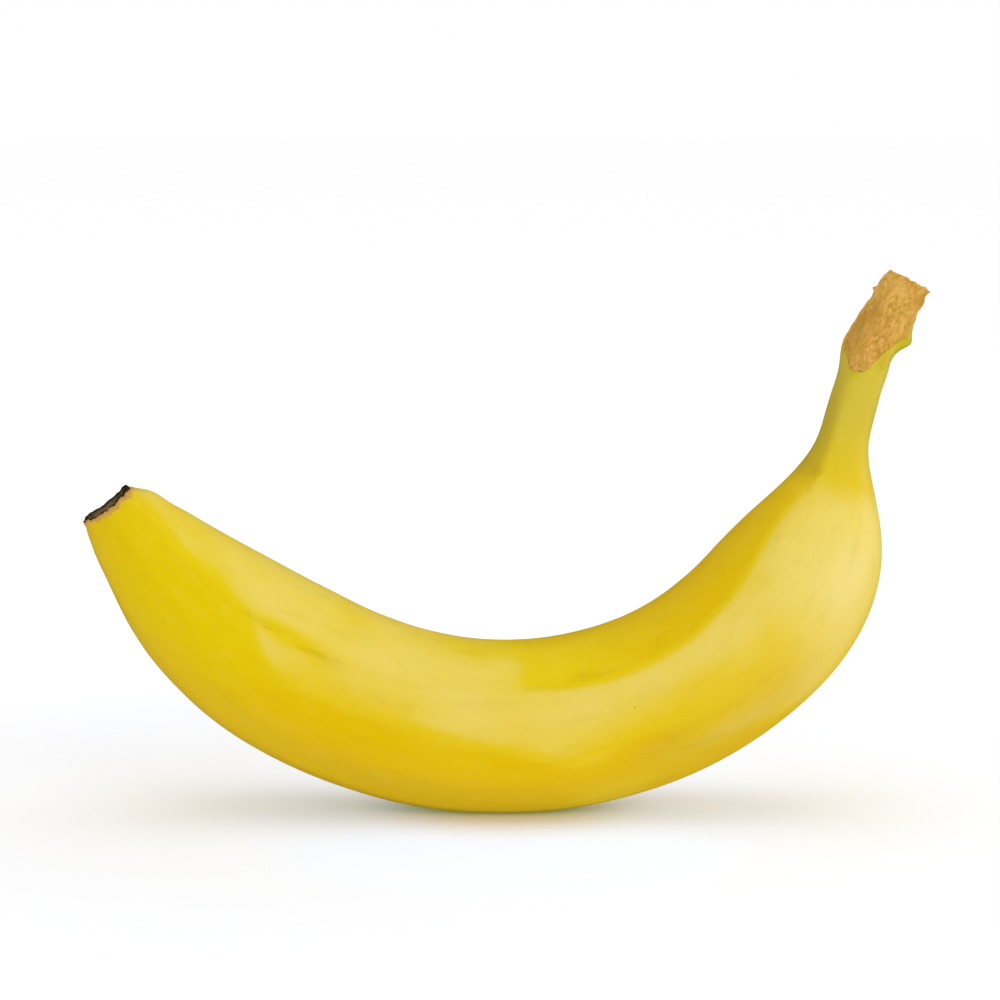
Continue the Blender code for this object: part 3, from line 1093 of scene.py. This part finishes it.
def make_floor():
    """A wide round floor, which belongs to the studio."""
    angle = np.arange(FLOOR_SIDES) * 2.0 * math.pi / FLOOR_SIDES
    mesh = bpy.data.meshes.new("floor")
    mesh.from_pydata((FLOOR_RADIUS * on_circle(angle)).tolist(), [], [list(range(FLOOR_SIDES))])
    mesh.materials.append(make_floor_white())
    floor = bpy.data.objects.new("floor", mesh)
    floor.visible_glossy = False
    bpy.context.scene.collection.objects.link(floor)


def make_surround():
    """A white surround, which lights the fruit evenly but doesn't show as a reflection."""
    world = bpy.data.worlds.new("studio")
    bpy.context.scene.world = world
    world.use_nodes = True
    world.cycles_visibility.glossy = False
    nodes, links = world.node_tree.nodes, world.node_tree.links
    path = nodes.new("ShaderNodeLightPath")
    strength = nodes.new("ShaderNodeMapRange")
    strength.inputs["To Min"].default_value = SURROUND_LIGHT
    strength.inputs["To Max"].default_value = SURROUND_SHOWN
    links.new(path.outputs["Is Camera Ray"], strength.inputs["Value"])
    nodes["Background"].inputs["Color"].default_value = (1.0, 1.0, 1.0, 1.0)
    links.new(strength.outputs["Result"], nodes["Background"].inputs["Strength"])


def add_softbox(name, place, side, watts):
    """A square light, turned towards the middle of the fruit."""
    light = bpy.data.lights.new(name, "AREA")
    light.shape = "SQUARE"
    light.size = side
    light.energy = watts
    thing = bpy.data.objects.new(name, light)
    thing.location = place
    thing.rotation_mode = "QUATERNION"
    thing.rotation_quaternion = (Vector(LIT_MIDDLE) - Vector(place)).to_track_quat("-Z", "Y")
    bpy.context.scene.collection.objects.link(thing)


def add_ceiling(strength, spread):
    """Even soft light from straight above, the same at every place on the floor."""
    light = bpy.data.lights.new("ceiling", "SUN")
    light.energy = strength
    light.angle = spread
    bpy.context.scene.collection.objects.link(bpy.data.objects.new("ceiling", light))


def make_camera(low, high):
    """The camera, straight in front of the fruit and a little above it."""
    size = high - low
    middle = (low + high) / 2.0
    target = Vector((middle.x + AIM_SIDE * size.x, 0.0, low.z + AIM_HEIGHT * size.z))
    distance = size.x / PICTURE_SHARE * LENS / SENSOR
    back = Vector((0.0, -math.cos(ELEVATION), math.sin(ELEVATION)))
    camera = bpy.data.objects.new("camera", bpy.data.cameras.new("camera"))
    camera.data.lens = LENS
    camera.data.sensor_width = SENSOR
    camera.location = target + distance * back
    camera.rotation_mode = "QUATERNION"
    camera.rotation_quaternion = (-back).to_track_quat("-Z", "Y")
    camera.data.clip_end = FARTHEST
    bpy.context.scene.collection.objects.link(camera)
    bpy.context.scene.camera = camera


# ---------------------------------------------------------------- making it all


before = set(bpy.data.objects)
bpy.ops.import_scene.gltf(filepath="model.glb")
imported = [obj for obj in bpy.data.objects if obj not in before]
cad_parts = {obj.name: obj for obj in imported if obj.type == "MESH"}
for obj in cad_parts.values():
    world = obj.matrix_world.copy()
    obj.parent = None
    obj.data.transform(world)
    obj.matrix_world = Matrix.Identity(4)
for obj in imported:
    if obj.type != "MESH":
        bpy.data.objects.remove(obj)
cad_low, cad_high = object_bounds()
make_camera(cad_low, cad_high)

solid_points, solid_triangles = read_solid("banana")
solid_corners = solid_points[solid_triangles]
solid_tree = BVHTree.FromPolygons(solid_points.tolist(), solid_triangles.tolist())
inner_sides = solid_tree.ray_cast(Vector((0.0, 0.0, 1.0)), Vector((0.0, 0.0, -1.0)))[0]
body_middle = np.array([0.0, 0.0, inner_sides.z / 2.0])
spine, spine_distances = trace_spine(solid_corners, solid_tree, body_middle)
skin_points, skin_places, skin_fields = skin_grid(spine, spine_distances, solid_tree)
banana = make_mesh("banana_skin", skin_points, skin_places, skin_fields)
banana.data.materials.append(make_peel())
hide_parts("banana")
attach(banana, "root")

scene = bpy.context.scene
scene.view_settings.view_transform = "Standard"
make_floor()
make_surround()
add_ceiling(CEILING_STRENGTH, CEILING_SPREAD)
add_softbox("key", KEY_PLACE, KEY_SIDE, KEY_WATTS)
add_softbox("rim", RIM_PLACE, RIM_SIDE, RIM_WATTS)
